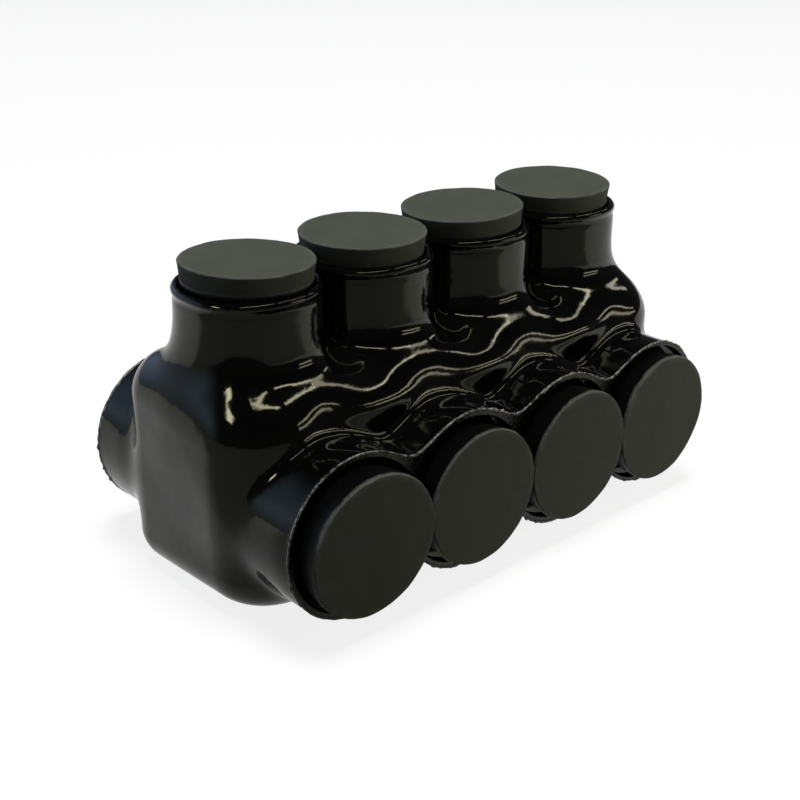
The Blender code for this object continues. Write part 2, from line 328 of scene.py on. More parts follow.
def turned(profile, axis, centre, steps=ROUND):
    """Points and faces of a solid turned round an axis from (radius, height) pairs that start and end on it."""
    rings = [ring(radius, height, steps) for radius, height in profile[1:-1]]
    points, faces = closed_rings(profile[0][1], rings, profile[-1][1])
    facing = {"Z": np.eye(3), "Y": np.array([[1, 0, 0], [0, 0, 1], [0, -1, 0]])}[axis]
    return points @ facing.T + np.array(centre), faces


def joined(*parts):
    """Points and faces of several shapes as one."""
    points, faces, start = [], [], 0
    for some, quads in parts:
        points.append(np.asarray(some))
        faces += [[v + start for v in q] for q in quads]
        start += len(some)
    return np.concatenate(points), faces


def brick(low, high):
    points = [(x, y, z) for x in (low[0], high[0]) for y in (low[1], high[1]) for z in (low[2], high[2])]
    return points, [(0, 1, 3, 2), (4, 6, 7, 5), (0, 4, 5, 1), (2, 3, 7, 6), (0, 2, 6, 4), (1, 5, 7, 3)]


def sawn_slab(side, reach=12, cell=2.5):
    """The waste cut off in front of the wire collars: its inner face wanders as a hand-held blade does."""
    half, low, high = 70, -12, 60
    nx, nz = int(2 * half / cell), int((high - low) / cell)
    x, z = np.meshgrid(np.linspace(-half, half, nx), np.linspace(low, high, nz), indexing="ij")
    flat = np.stack([x.ravel(), np.zeros(x.size), z.ravel()], 1)
    near = TRIM + 0.10 * waves(flat, 9, 21 + side) + 0.05 * waves(flat, 3.1, 23 + side)
    inner = np.stack([flat[:, 0], side * near, flat[:, 2]], 1)
    outer = np.stack([flat[:, 0], np.full(len(flat), side * (TRIM + reach)), flat[:, 2]], 1)
    faces, n = [], len(flat)
    for i in range(nx - 1):
        for k in range(nz - 1):
            a, b, c, d = i * nz + k, (i + 1) * nz + k, (i + 1) * nz + k + 1, i * nz + k + 1
            faces += [(a, b, c, d), (n + d, n + c, n + b, n + a)]
    edge = [i * nz for i in range(nx)] + [(nx - 1) * nz + k for k in range(1, nz)]
    edge += [i * nz + nz - 1 for i in range(nx - 2, -1, -1)] + [k for k in range(nz - 2, 0, -1)]
    faces += [(a, a + n, b + n, b) for a, b in zip(edge, edge[1:] + edge[:1])]
    return np.concatenate([inner, outer]), faces


def rounded_bar(low, high, corner, edge, steps):
    """A bar from low to high with its upright corners and its other edges rounded."""
    bm = bmesh.new()
    bmesh.ops.create_cube(bm, size=1.0)
    size, centre = Vector((high - low) * MM), Vector((high + low) / 2 * MM)
    bmesh.ops.scale(bm, vec=size, verts=bm.verts)
    for upright, width in ((True, corner), (False, edge)):
        edges = [e for e in bm.edges
                 if (abs(e.verts[0].co.z - e.verts[1].co.z) > size.z / 2) == upright]
        bmesh.ops.bevel(bm, geom=edges, offset=width * MM, segments=steps, profile=0.5, affect="EDGES",
                        clamp_overlap=True)
    bmesh.ops.translate(bm, vec=centre, verts=bm.verts)
    mesh = bpy.data.meshes.new("bar")
    bm.to_mesh(mesh)
    bm.free()
    return mesh


def outward(mesh):
    """The mesh with all its faces turned outward."""
    bm = bmesh.new()
    bm.from_mesh(mesh)
    bmesh.ops.recalc_face_normals(bm, faces=bm.faces)
    bm.to_mesh(mesh)
    bm.free()
    return mesh


def carved(name, mesh, *tools):
    """The mesh after each (operation, tool mesh) in turn."""
    ob = piece(name, mesh)
    made = [ob]
    for k, (operation, tool) in enumerate(tools):
        made.append(piece(f"{name}_tool_{k}", outward(tool)))
        mod = ob.modifiers.new(f"tool_{k}", "BOOLEAN")
        mod.operation, mod.solver, mod.object = operation, "EXACT", made[-1]
    result = bpy.data.meshes.new_from_object(ob.evaluated_get(bpy.context.evaluated_depsgraph_get()))
    for each in made:
        bpy.data.objects.remove(each, do_unlink=True)
    return result


def cap_well(port, settle):
    """Room for a cap and its screw, opened by the roll of the lip."""
    across, back, lift = settle
    foot_r = CAP_R - STOPPER_TAPER * (CAP_FACE - CAP_FOOT) + 0.35
    mouth_r = CAP_R - STOPPER_TAPER * (CAP_FACE - RIM) + 0.45
    rim = RIM + lift
    roll = [(mouth_r + 0.05, rim - 0.6), (mouth_r + 0.10, rim - 0.35), (mouth_r + 0.22, rim - 0.15),
            (mouth_r + 0.42, rim - 0.02), (mouth_r + 1.4, rim + 0.5), (mouth_r + 1.4, rim + 3)]
    line = [(0, BLOCK_TOP - 2), (foot_r, BLOCK_TOP - 2), (foot_r, CAP_FOOT)] + roll + [(0, rim + 3)]
    return turned(line, "Z", (port + across, back, 0))


def plug_well(port):
    """The run from one plug to the other, with a seat for each and an open gap round it just inside the rim."""
    foot_r = PLUG_R - STOPPER_TAPER * (PLUG_FACE - PLUG_FOOT) + 0.35
    mouth_r = PLUG_R - STOPPER_TAPER * (PLUG_FACE - TRIM) + 0.35
    front, rear = [[(gap, TRIM + 3), (gap, TRIM - 1.5), (gap - 0.3, TRIM - 1.9), (mouth_r, TRIM - 2.3),
                    (foot_r, PLUG_FOOT)] for gap in (GAP_R, REAR_GAP_R)]
    line = [(0, TRIM + 3)] + rear + [(r, -h) for r, h in reversed(front)] + [(0, -TRIM - 3)]
    return turned(line[::-1], "Y", (port, 0, WIRE_Z))


def skin_mesh():
    """The dipped cover, hollowed for the block and the stoppers, with its wire collars sawn off."""
    points, quads = surface_net(skin_form, NET_LOW, NET_HIGH, NET_STEP)
    points = evened(points, quads, 3)
    blob = mesh_of("skin", points, quads)
    room = rounded_bar(BLOCK_LOW - LOOSE, BLOCK_HIGH + LOOSE, BLOCK_CORNER + LOOSE, BLOCK_EDGE + LOOSE, 5)
    wells = mesh_of("cap_wells", *joined(*[cap_well(x, s) for x, s in zip(PORT_X, COLLAR_SETTLE)]))
    runs = [("UNION", mesh_of(f"plug_run_{i}", *plug_well(x))) for i, x in zip(PORTS, PORT_X)]
    waste = mesh_of("waste", *joined(sawn_slab(-1), sawn_slab(1), brick((-75, -26, -12), (75, 26, 0))))
    hollow = carved("hollow", outward(room), ("UNION", wells), *runs, ("UNION", waste))
    return carved("skin", outward(blob), ("DIFFERENCE", hollow))


def dress_skin(mesh):
    """Exact normals on the dipped surface, and masks of the sawn ends and of the torn edge round them."""
    count = len(mesh.vertices)
    points = np.empty(count * 3)
    mesh.vertices.foreach_get("co", points)
    points = points.reshape(-1, 3) / MM
    away, grad = slope(points)
    grad /= np.linalg.norm(grad, axis=1)[:, None]
    on_skin = np.abs(away) < 0.01       # the rest was cut by the wells and the saw
    mesh.shade_smooth()
    mesh.set_sharp_from_angle(angle=math.radians(32))
    loops = np.empty(len(mesh.loops), np.int64)
    mesh.loops.foreach_get("vertex_index", loops)
    normals = np.empty(len(mesh.loops) * 3)
    mesh.corner_normals.foreach_get("vector", normals)
    normals = normals.reshape(-1, 3)
    own = np.empty(len(mesh.polygons) * 3)
    mesh.polygons.foreach_get("normal", own)
    sizes = np.empty(len(mesh.polygons), np.int64)
    mesh.polygons.foreach_get("loop_total", sizes)
    own = np.repeat(own.reshape(-1, 3), sizes, axis=0)
    use = on_skin[loops] & ((own * grad[loops]).sum(axis=1) > 0.85)
    normals[use] = grad[loops][use]
    mesh.normals_split_custom_set(normals.tolist())
    sawn = np.clip(1.6 - np.abs(np.abs(points[:, 1]) - TRIM) * 2, 0, 1)
    mesh.attributes.new("sawn_end", "FLOAT", "POINT").data.foreach_set("value", sawn)
    return mesh


def rim_loop(mesh, side):
    """The outer edge of the sawn end as one loop of points."""
    bm = bmesh.new()
    bm.from_mesh(mesh)
    chain = {}
    for e in bm.edges:
        a, b = (np.array(v.co) / MM for v in e.verts)
        if side * a[1] < TRIM - 0.5 or side * b[1] < TRIM - 0.5 or len(e.link_faces) != 2:
            continue
        facing = sorted(abs(f.normal.y) for f in e.link_faces)
        nearest = min(math.hypot((a[0] + b[0]) / 2 - x, (a[2] + b[2]) / 2 - WIRE_Z) for x in PORT_X)
        if facing[1] > 0.9 > facing[0] + 0.2 and nearest > (GAP_R if side < 0 else REAR_GAP_R) + 0.2:
            for one, other in (e.verts, reversed(e.verts)):
                chain.setdefault(one.index, []).append(other.index)
    start = min(chain)
    loop, here, last = [start], chain[start][0], start
    while here != start and len(loop) < len(chain) + 2:
        loop.append(here)
        ahead = [v for v in chain[here] if v != last]
        last = here
        if not ahead:
            break
        here = ahead[0]
    bm.verts.ensure_lookup_table()
    points = np.array([bm.verts[i].co for i in loop]) / MM
    bm.free()
    return points


def even_steps(loop, step):
    """The same closed loop with its points an even step apart."""
    closed = np.concatenate([loop, loop[:1]])
    along = np.concatenate([[0], np.cumsum(np.linalg.norm(np.diff(closed, axis=0), axis=1))])
    stops = np.arange(0, along[-1] - step / 2, step)
    return np.stack([np.interp(stops, along, closed[:, k]) for k in range(3)], 1)


def torn_edge(mesh, side):
    """A ragged lip of plastisol left standing round the outer edge of a sawn end."""
    loop = even_steps(rim_loop(mesh, side), 0.45)
    ahead = np.roll(loop, -1, axis=0) - np.roll(loop, 1, axis=0)
    ahead[:, 1] = 0
    ahead /= np.linalg.norm(ahead, axis=1)[:, None]
    out = np.stack([ahead[:, 2], np.zeros(len(ahead)), -ahead[:, 0]], 1)
    middle_of = np.array([min(PORT_X, key=lambda x: abs(x - p[0])) for p in loop])
    away = np.stack([loop[:, 0] - middle_of, np.zeros(len(loop)), loop[:, 2] - WIRE_Z], 1)
    out *= np.sign((out * away).sum(axis=1))[:, None]
    face = np.array([0, side, 0])
    # The lip's section runs from its foot on the sawn end round its ragged crest and back along the skin.
    rough = waves(loop, 0.9, 31 + side)
    patch = np.clip(waves(loop, 6.0, 33 + side) + 0.55, 0.15, 1)
    tall = 0.08 + 0.55 * np.abs(rough) ** 1.4 * patch
    lean = 0.10 + 0.16 * waves(loop, 1.4, 35 + side)
    rows = [loop - out * 0.35 - face * 0.03, loop - out * 0.1 + face * tall[:, None] * 0.7,
            loop + out * tall[:, None] + face * lean[:, None], loop + out * 0.10 - face * 0.10,
            loop - out * 0.02 - face * 0.45, loop - out * 0.35 - face * 0.45]
    n, m = len(loop), len(rows)
    points = np.concatenate(rows)
    faces = []
    for k in range(n):
        for r in range(m):
            a, b = r * n + k, r * n + (k + 1) % n
            c, d = (r + 1) % m * n + (k + 1) % n, (r + 1) % m * n + k
            faces.append((a, b, c, d))
    return points, faces


# Rubber stoppers -----------------------------------------------------------------------------------

def stopper_mesh(name, face_r, length, seed, skin, rings=14):
    """A moulded rubber taper, local +Z towards the face, the foot at nought, with torn skin on its side, and a
    mask of that skin that the rubber also uses for painted shade further down the side.
    """
    foot_r = face_r - STOPPER_TAPER * length
    roll, foot_roll = 0.22, 0.5
    profile = [(0, 0)] + [(foot_r * k / 4, 0) for k in range(1, 4)]
    for k in range(5):
        a = math.radians(90 * k / 4)
        profile.append((foot_r - foot_roll + foot_roll * math.sin(a), foot_roll - foot_roll * math.cos(a)))
    heights = np.concatenate([np.linspace(foot_roll, length - 5, 6)[1:],
                              np.linspace(length - 5, length - roll, 18)[1:-1]])
    profile += [(foot_r + STOPPER_TAPER * h, h) for h in heights]
    for k in range(5):
        a = math.radians(90 * k / 4)
        profile.append((face_r - STOPPER_TAPER * roll - roll + roll * math.cos(a) + 0.02,
                        length - roll + roll * math.sin(a)))
    edge = profile[-1][0]
    profile += [(edge * (1 - k / rings), length) for k in range(1, rings)] + [(0, length)]
    points, faces = turned(profile, "Z", (0, 0, 0), STOPPER_ROUND)
    seen = np.array([seed * 57.0, 0, 0])
    out = np.hypot(points[:, 0], points[:, 1])
    ends, wander, thick = skin
    around = points * (1, 1, 0) * (face_r / np.maximum(out, 1))[:, None] + seen
    tatters = 0.8 * waves(around, 9, 45) + 0.35 * waves(around, 1.5, 46) + 0.2 * waves(around, 0.7, 47)
    torn = ends + wander * tatters
    cling_and_shade = length - points[:, 2] - np.maximum(torn, 0.12)
    side = (out > foot_r - 1) & (points[:, 2] > 0.3)
    swell = np.where(side, thick * np.clip(cling_and_shade / 0.3, 0, 1), 0)
    top = np.clip((points[:, 2] - length + 0.5) / 0.5, 0, 1)
    points[:, 2] += top * (0.10 * waves(points + seen, 7, 41) + 0.05 * waves(points + seen, 2.6, 42))
    swell = 1 + (swell + 0.13 * waves(points + seen, 8, 43) + 0.04 * waves(points + seen, 2.2, 44)) / face_r
    points[:, 0] *= swell
    points[:, 1] *= swell
    mesh = mesh_of(name, points, faces)
    near_edge = np.clip(1 - np.abs(out - face_r + 0.2) / 0.5, 0, 1)
    edge_mask = near_edge * np.clip((points[:, 2] - length + 0.9) / 0.7, 0, 1)
    mesh.attributes.new("rolled_edge", "FLOAT", "POINT").data.foreach_set("value", edge_mask)
    # The mask of the clinging skin also marks where the rubber gets painted shade further down the side.
    mesh.attributes.new("clinging_skin_and_shade", "FLOAT", "POINT").data.foreach_set("value", np.clip(cling_and_shade, -2, 2))
    return outward(mesh)


# Each stopper: degrees of lean about X and about the other axis across it, how far it stands out of its
# place, and how much wider its face is
CAP_LEAN = [(0.0, 1.0, -0.2, 0.0), (0.3, -0.4, -0.65, 0.0), (-0.8, -2.0, -0.7, 0.0), (1.3, -1.4, -0.5, -0.1)]
FRONT_LEAN = [(2.2, -0.9, 0.4, 0.35), (0.4, 0.3, 0.1, 0.1), (1.0, 0.0, 0.1, 0.12), (0.0, 0.4, -0.2, 0.15)]
REAR_LEAN = [(0.6, 0.8, 0.1, 0.0), (-0.7, 0.3, 0.2, 0.0), (0.9, -0.6, 0.0, 0.0), (0.2, -0.9, 0.2, 0.0)]
# The skin that clings to a stopper, with painted shade past it towards the foot: how far below the face it ends,
# how much that wanders, how thick it is
CAP_CLING_AND_SHADE, PLUG_CLING_AND_SHADE = (3.1, 0.15, 0.10), (0.40, 0.5, 0.2)


def seated(ob, mouth, facing, lean, depth):
    """Stands a stopper in its mouth, leaning about the middle of that mouth."""
    tilt = Matrix.Rotation(math.radians(lean[0]), 4, "X") @ Matrix.Rotation(
        math.radians(lean[1]), 4, "Y" if facing == "up" else "Z")
    turn = {"up": Matrix(), "front": Matrix.Rotation(math.radians(90), 4, "X"),
            "rear": Matrix.Rotation(math.radians(-90), 4, "X")}[facing]
    down = Matrix.Translation((0, 0, (lean[2] - depth) * MM))
    ob.data.transform(Matrix.Translation(Vector(mouth) * MM) @ tilt @ turn @ down)


# Set screws and block ------------------------------------------------------------------------------

def screw_mesh(name, low, high):
    """A threaded plug as a row of rings, from the middle of its foot round to the floor of its hex socket."""
    steps = 96
    r, length = (high[0] - low[0]) / 2, high[2] - low[2]
    floor_at = length - SOCKET_DEPTH
    turn = np.arange(steps) * 2 * math.pi / steps
    flats = KEY / 2 / np.cos((turn + math.pi / 6) % (math.pi / 3) - math.pi / 6)
    line = [(r - 2.6, 0.0), (r - 1.75, 0.0), (r - 1.6, 0.05)]
    for h in np.arange(0.15, length - 0.05, THREAD_PITCH / (8 if FINE else 4)):
        phase = (h / THREAD_PITCH - turn / (2 * math.pi)) % 1
        tooth = np.clip(np.abs(phase - 0.5) * 2 * 1.25, 0, 1)
        chamfered = min(r, r - 1.6 + h, r - 0.6 + (length - h))
        line.append((np.minimum(r - THREAD_DEPTH + THREAD_DEPTH * tooth, chamfered), h))
    line += [(r - 0.62, length), (r - 1.4, length), ((r + KEY / 2) / 2, length), (flats + 0.28, length),
             (flats, length - 0.28), (flats, floor_at + 0.1), (flats - 0.1, floor_at), (2.2, floor_at - 0.02)]
    points, faces = closed_rings(0, [ring(radius, height, steps) for radius, height in line], floor_at - 0.9)
    points += ((low[0] + high[0]) / 2, (low[1] + high[1]) / 2, low[2])
    mesh = mesh_of(name, points, faces)
    mesh.set_sharp_from_angle(angle=math.radians(28))
    return mesh


def block_mesh():
    """The bar with its wire bores, chamfered at both ends, and the screw holes that run down into them."""
    half_depth = BLOCK_HIGH[1]
    side = [(BORE_R + CHAMFER + 1, half_depth + 1), (BORE_R, half_depth - CHAMFER)]
    line = [(0, half_depth + 1)] + side + [(r, -h) for r, h in reversed(side)] + [(0, -half_depth - 1)]
    bores = mesh_of("wire_bores", *joined(*[turned(line[::-1], "Y", (x, 0, WIRE_Z)) for x in PORT_X]))
    line = [(0, WIRE_Z), (SCREW_HOLE_R, WIRE_Z), (SCREW_HOLE_R, BLOCK_TOP - CHAMFER),
            (SCREW_HOLE_R + CHAMFER + 1, BLOCK_TOP + 1), (0, BLOCK_TOP + 1)]
    holes = mesh_of("screw_holes", *joined(*[turned(line, "Z", (x, 0, 0)) for x in PORT_X]))
    bar = rounded_bar(BLOCK_LOW, BLOCK_HIGH, BLOCK_CORNER, BLOCK_EDGE, 8)
    mesh = carved("block", outward(bar), ("DIFFERENCE", bores), ("DIFFERENCE", holes))
    mesh.shade_smooth()
    mesh.set_sharp_from_angle(angle=math.radians(30))
    return mesh


# Finishes ------------------------------------------------------------------------------------------

def effect(name, inputs, outputs, build):
    """A shared shader effect, as a node group."""
    group = bpy.data.node_groups.new(name, "ShaderNodeTree")
    for label, kind, value in inputs:
        socket = group.interface.new_socket(name=label, in_out="INPUT", socket_type=kind)
        socket.default_value = value
    for label, kind in outputs:
        group.interface.new_socket(name=label, in_out="OUTPUT", socket_type=kind)
    build(group, group.nodes.new("NodeGroupInput"), group.nodes.new("NodeGroupOutput"))
    return group


def node(tree, kind, links=None, **settings):
    """A new shader node with its links, its settings and its socket values."""
    made = tree.nodes.new(kind)
    values = settings.pop("values", {})
    for key, value in settings.items():
        setattr(made, key, value)
    for key, value in values.items():
        made.inputs[key].default_value = value
    for key, source in (links or {}).items():
        tree.links.new(source, made.inputs[key])
    return made


def filled(tree, made, places):
    """The node with each of its input places linked to a socket or set to a value."""
    for place, value in places:
        if isinstance(value, (int, float)):
            made.inputs[place].default_value = value
        elif isinstance(value, tuple):
            made.inputs[place].default_value = (*value, 1)
        else:
            tree.links.new(value, made.inputs[place])
    return made


def maths(tree, operation, one, other, use_clamp=False):
    made = node(tree, "ShaderNodeMath", operation=operation, use_clamp=use_clamp)
    return filled(tree, made, ((0, one), (1, other))).outputs[0]


def ranged(tree, value, start, stop, low=0.0, high=1.0, smooth=True):
    """A mask that is low up to the start and high from the stop on."""
    limits = {"From Min": start, "From Max": stop, "To Min": low, "To Max": high}
    return node(tree, "ShaderNodeMapRange", {"Value": value}, values=limits,
                interpolation_type="SMOOTHSTEP" if smooth else "LINEAR").outputs["Result"]


def blend_colour(tree, factor, one, other):
    """From one colour to the other; 6 and 7 are the Mix node's own places for colours."""
    made = node(tree, "ShaderNodeMix", {0: factor}, data_type="RGBA")
    return filled(tree, made, ((6, one), (7, other))).outputs[2]


def blend_value(tree, factor, one, other):
    """From one value to the other."""
    made = node(tree, "ShaderNodeMix", {0: factor}, data_type="FLOAT")
    return filled(tree, made, ((2, one), (3, other))).outputs[0]


def build_uneven(tree, given, out):
    """Soft patches of a given size in millimetres, from nought to one, with how sharp they are."""
    place = node(tree, "ShaderNodeTexCoord")
    times = maths(tree, "DIVIDE", 1 / MM, given.outputs["Size mm"])
    noise = node(tree, "ShaderNodeTexNoise", {"Vector": place.outputs["Object"], "Scale": times,
                                              "Detail": given.outputs["Detail"]}, values={"Roughness": 0.55})
    spread = node(tree, "ShaderNodeMapRange", {"Value": noise.outputs["Fac"], "From Min": given.outputs["From"],
                                               "From Max": given.outputs["To"]})
    tree.links.new(spread.outputs["Result"], out.inputs["Mask"])


def build_specks(tree, given, out):
    """Scattered small round specks, a given distance apart, as a mask."""
    place = node(tree, "ShaderNodeTexCoord")
    times = maths(tree, "DIVIDE", 1 / MM, given.outputs["Apart mm"])
    cells = node(tree, "ShaderNodeTexVoronoi", {"Vector": place.outputs["Object"], "Scale": times},
                 feature="F1", values={"Randomness": 1.0})
    chance = node(tree, "ShaderNodeSeparateColor", {"Color": cells.outputs["Color"]}).outputs
    reach = maths(tree, "MULTIPLY", chance[0], given.outputs["Speck"])
    close = maths(tree, "SUBTRACT", reach, cells.outputs["Distance"])
    crisp = maths(tree, "MULTIPLY", close, 12.0, use_clamp=True)
    some = maths(tree, "LESS_THAN", chance[1], given.outputs["Share"])
    tree.links.new(maths(tree, "MULTIPLY", crisp, some), out.inputs["Mask"])


uneven = effect("uneven_patches", [("Size mm", "NodeSocketFloat", 5.0), ("Detail", "NodeSocketFloat", 3.0),
                                   ("From", "NodeSocketFloat", 0.35), ("To", "NodeSocketFloat", 0.65)],
                [("Mask", "NodeSocketFloat")], build_uneven)
specks = effect("fine_specks", [("Apart mm", "NodeSocketFloat", 2.0), ("Speck", "NodeSocketFloat", 0.2),
                                ("Share", "NodeSocketFloat", 0.4)], [("Mask", "NodeSocketFloat")], build_specks)


def placed(tree, group, **values):
    """The mask that a shared effect gives with these values."""
    made = tree.nodes.new("ShaderNodeGroup")
    made.node_tree = group
    for key, value in values.items():
        made.inputs[key.replace("_", " ")].default_value = value
    return made.outputs["Mask"]


def finish_of(name):
    """A new material, its nodes and its Principled shader."""
    mat = bpy.data.materials.new(name)
    mat.use_nodes = True
    tree = mat.node_tree
    return mat, tree, tree.nodes["Principled BSDF"]


def raised(tree, height, distance_mm, strength=1.0, under=None):
    """Normals of a surface that a mask raises, on top of other normals where they are given."""
    made = node(tree, "ShaderNodeBump", {"Height": height},
                values={"Strength": strength, "Distance": distance_mm * MM})
    if under is not None:
        tree.links.new(under, made.inputs["Normal"])
    return made.outputs["Normal"]


def black_plastisol():
    """Wet-looking black dip; where it was sawn it is duller, rough in patches and dotted with pale flecks."""
    mat, tree, shader = finish_of("dipped_black_plastisol")
    sawn = node(tree, "ShaderNodeAttribute", attribute_name="sawn_end").outputs["Fac"]
    ragged = placed(tree, uneven, Size_mm=0.6, Detail=4.0, From=0.40, To=0.62)
    cut = maths(tree, "MULTIPLY", sawn, ragged)
    flecks = placed(tree, specks, Apart_mm=0.7, Speck=0.4, Share=0.05)
    pale = maths(tree, "MULTIPLY", sawn, flecks)
    cloud = placed(tree, uneven, Size_mm=9.0, Detail=3.0, From=0.3, To=0.7)
    colour = blend_colour(tree, cloud, (0.0014, 0.0014, 0.0015), (0.0027, 0.0027, 0.0028))
    colour = blend_colour(tree, sawn, colour, (0.0015, 0.0015, 0.0014))
    colour = blend_colour(tree, pale, colour, (0.05, 0.05, 0.045))
    tree.links.new(colour, shader.inputs["Base Color"])
    smear = placed(tree, uneven, Size_mm=16.0, Detail=4.0, From=0.35, To=0.75)
    gloss = blend_value(tree, smear, 0.045, 0.105)
    rough = blend_value(tree, cut, blend_value(tree, sawn, gloss, 0.16), 0.32)
    tree.links.new(rough, shader.inputs["Roughness"])
    shader.inputs["IOR"].default_value = 1.40
    shader.inputs["Specular Tint"].default_value = (1.0, 1.0, 0.74, 1)
    peel = raised(tree, placed(tree, uneven, Size_mm=2.6, Detail=2.0, From=0.0, To=1.0), 0.03)
    saw = raised(tree, cut, 0.06, 0.6, under=peel)
    tree.links.new(saw, shader.inputs["Normal"])
    return mat


def torn_plastisol():
    """The ragged edge, pale in patches: partly whitened where the plastisol was stretched, partly a painted
    highlight where the edge catches light.
    """
    mat, tree, shader = finish_of("torn_plastisol_edge")
    whitening_and_highlight = placed(tree, uneven, Size_mm=0.7, Detail=4.0, From=0.42, To=0.60)
    # The pale patches are partly stretch whitening and partly a painted highlight along the edge.
    colour = blend_colour(tree, whitening_and_highlight, (0.008, 0.008, 0.008), (0.34, 0.33, 0.30))
    tree.links.new(colour, shader.inputs["Base Color"])
    tree.links.new(blend_value(tree, whitening_and_highlight, 0.28, 0.7), shader.inputs["Roughness"])
    tree.links.new(raised(tree, placed(tree, uneven, Size_mm=0.35, Detail=3.0, From=0.2, To=0.8), 0.06),
                   shader.inputs["Normal"])
    return mat


def grey_rubber():
    """Dull, dusty rubber, worn paler at its rolled edge, with black skin of the dip where it sat in a collar, and
    near-black painted shade further down its side inside the mouth.
    """
    mat, tree, shader = finish_of("moulded_grey_rubber")
    edge = node(tree, "ShaderNodeAttribute", attribute_name="rolled_edge").outputs["Fac"]
    worn = placed(tree, uneven, Size_mm=2.2, Detail=4.0, From=0.38, To=0.62)
    wear = maths(tree, "MULTIPLY", edge, worn)
    cloud = placed(tree, uneven, Size_mm=6.0, Detail=5.0, From=0.25, To=0.75)
    grain = placed(tree, uneven, Size_mm=0.45, Detail=2.0, From=0.3, To=0.7)
    colour = blend_colour(tree, cloud, (0.078, 0.083, 0.064), (0.091, 0.097, 0.075))
    colour = blend_colour(tree, wear, colour, (0.125, 0.126, 0.110))
    dust = placed(tree, specks, Apart_mm=1.6, Speck=0.16, Share=0.10)
    colour = blend_colour(tree, dust, colour, (0.14, 0.14, 0.13))
    skin_and_shade_line = node(tree, "ShaderNodeAttribute", attribute_name="clinging_skin_and_shade").outputs["Fac"]
    frayed = placed(tree, uneven, Size_mm=0.35, Detail=3.0, From=0.3, To=0.7)
    torn_at = maths(tree, "ADD", skin_and_shade_line, blend_value(tree, frayed, -0.12, 0.12))
    skin_and_shade_cover = ranged(tree, torn_at, -0.03, 0.03, smooth=False)
    # Painted shade: past the skin's torn line the side goes near black, standing in for the shade inside the
    # collar's mouth.
    painted_recess_shade = ranged(tree, torn_at, 0.2, 0.5, smooth=False)
    tatter = blend_colour(tree, frayed, (0.012, 0.012, 0.011), (0.13, 0.13, 0.115))
    colour = blend_colour(tree, skin_and_shade_cover, colour, tatter)
    # Painted shade deep in the mouth, near black.
    colour = blend_colour(tree, painted_recess_shade, colour, (0.002, 0.002, 0.002))
    tree.links.new(colour, shader.inputs["Base Color"])
    rough = blend_value(tree, skin_and_shade_cover, blend_value(tree, cloud, 0.80, 0.93), 0.5)
    tree.links.new(rough, shader.inputs["Roughness"])
    shader.inputs["IOR"].default_value = 1.48
    shader.inputs["Specular IOR Level"].default_value = 0.25
    skin = raised(tree, grain, 0.03, 0.6)
    tree.links.new(raised(tree, cloud, 0.05, 0.5, under=skin), shader.inputs["Normal"])
    return mat


def block_aluminium():
    """Tumbled metal, cloudy and dinged."""
    mat, tree, shader = finish_of("tumbled_aluminium")
    cloud = placed(tree, uneven, Size_mm=4.0, Detail=5.0, From=0.3, To=0.7)
    dings = placed(tree, specks, Apart_mm=2.2, Speck=0.35, Share=0.35)
    tree.links.new(blend_colour(tree, cloud, (0.70, 0.70, 0.69), (0.82, 0.82, 0.80)), shader.inputs["Base Color"])
    shader.inputs["Metallic"].default_value = 1.0
    tree.links.new(blend_value(tree, cloud, 0.28, 0.42), shader.inputs["Roughness"])
    fine = raised(tree, placed(tree, uneven, Size_mm=0.3, Detail=2.0, From=0.2, To=0.8), 0.02, 0.5)
    tree.links.new(raised(tree, dings, 0.04, 0.5, under=fine), shader.inputs["Normal"])
    return mat


def screw_aluminium():
    """Turned metal, a little darker and smoother than the block."""
    mat, tree, shader = finish_of("turned_screw_aluminium")
    cloud = placed(tree, uneven, Size_mm=2.5, Detail=4.0, From=0.3, To=0.7)
    tree.links.new(blend_colour(tree, cloud, (0.62, 0.62, 0.61), (0.74, 0.74, 0.73)), shader.inputs["Base Color"])
    shader.inputs["Metallic"].default_value = 1.0
    tree.links.new(blend_value(tree, cloud, 0.22, 0.34), shader.inputs["Roughness"])
    tree.links.new(raised(tree, placed(tree, uneven, Size_mm=0.25, Detail=2.0, From=0.2, To=0.8), 0.015, 0.5),
                   shader.inputs["Normal"])
    return mat


# The connector -------------------------------------------------------------------------------------

plastisol, torn, rubber = black_plastisol(), torn_plastisol(), grey_rubber()
aluminium, screw_finish = block_aluminium(), screw_aluminium()

cover_mesh = dress_skin(skin_mesh())
cover = piece("dipped_cover", cover_mesh, plastisol)
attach(cover, "connector")
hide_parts("insulating_cover")

torn_edges = mesh_of("trim_burr", *joined(*[torn_edge(cover_mesh, side) for side in (-1, 1)]))
burr = piece("trim_burr", outward(torn_edges), torn)
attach(burr, "connector")

block = piece("bored_block", block_mesh(), aluminium)
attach(block, "connector")
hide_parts("connector_block")

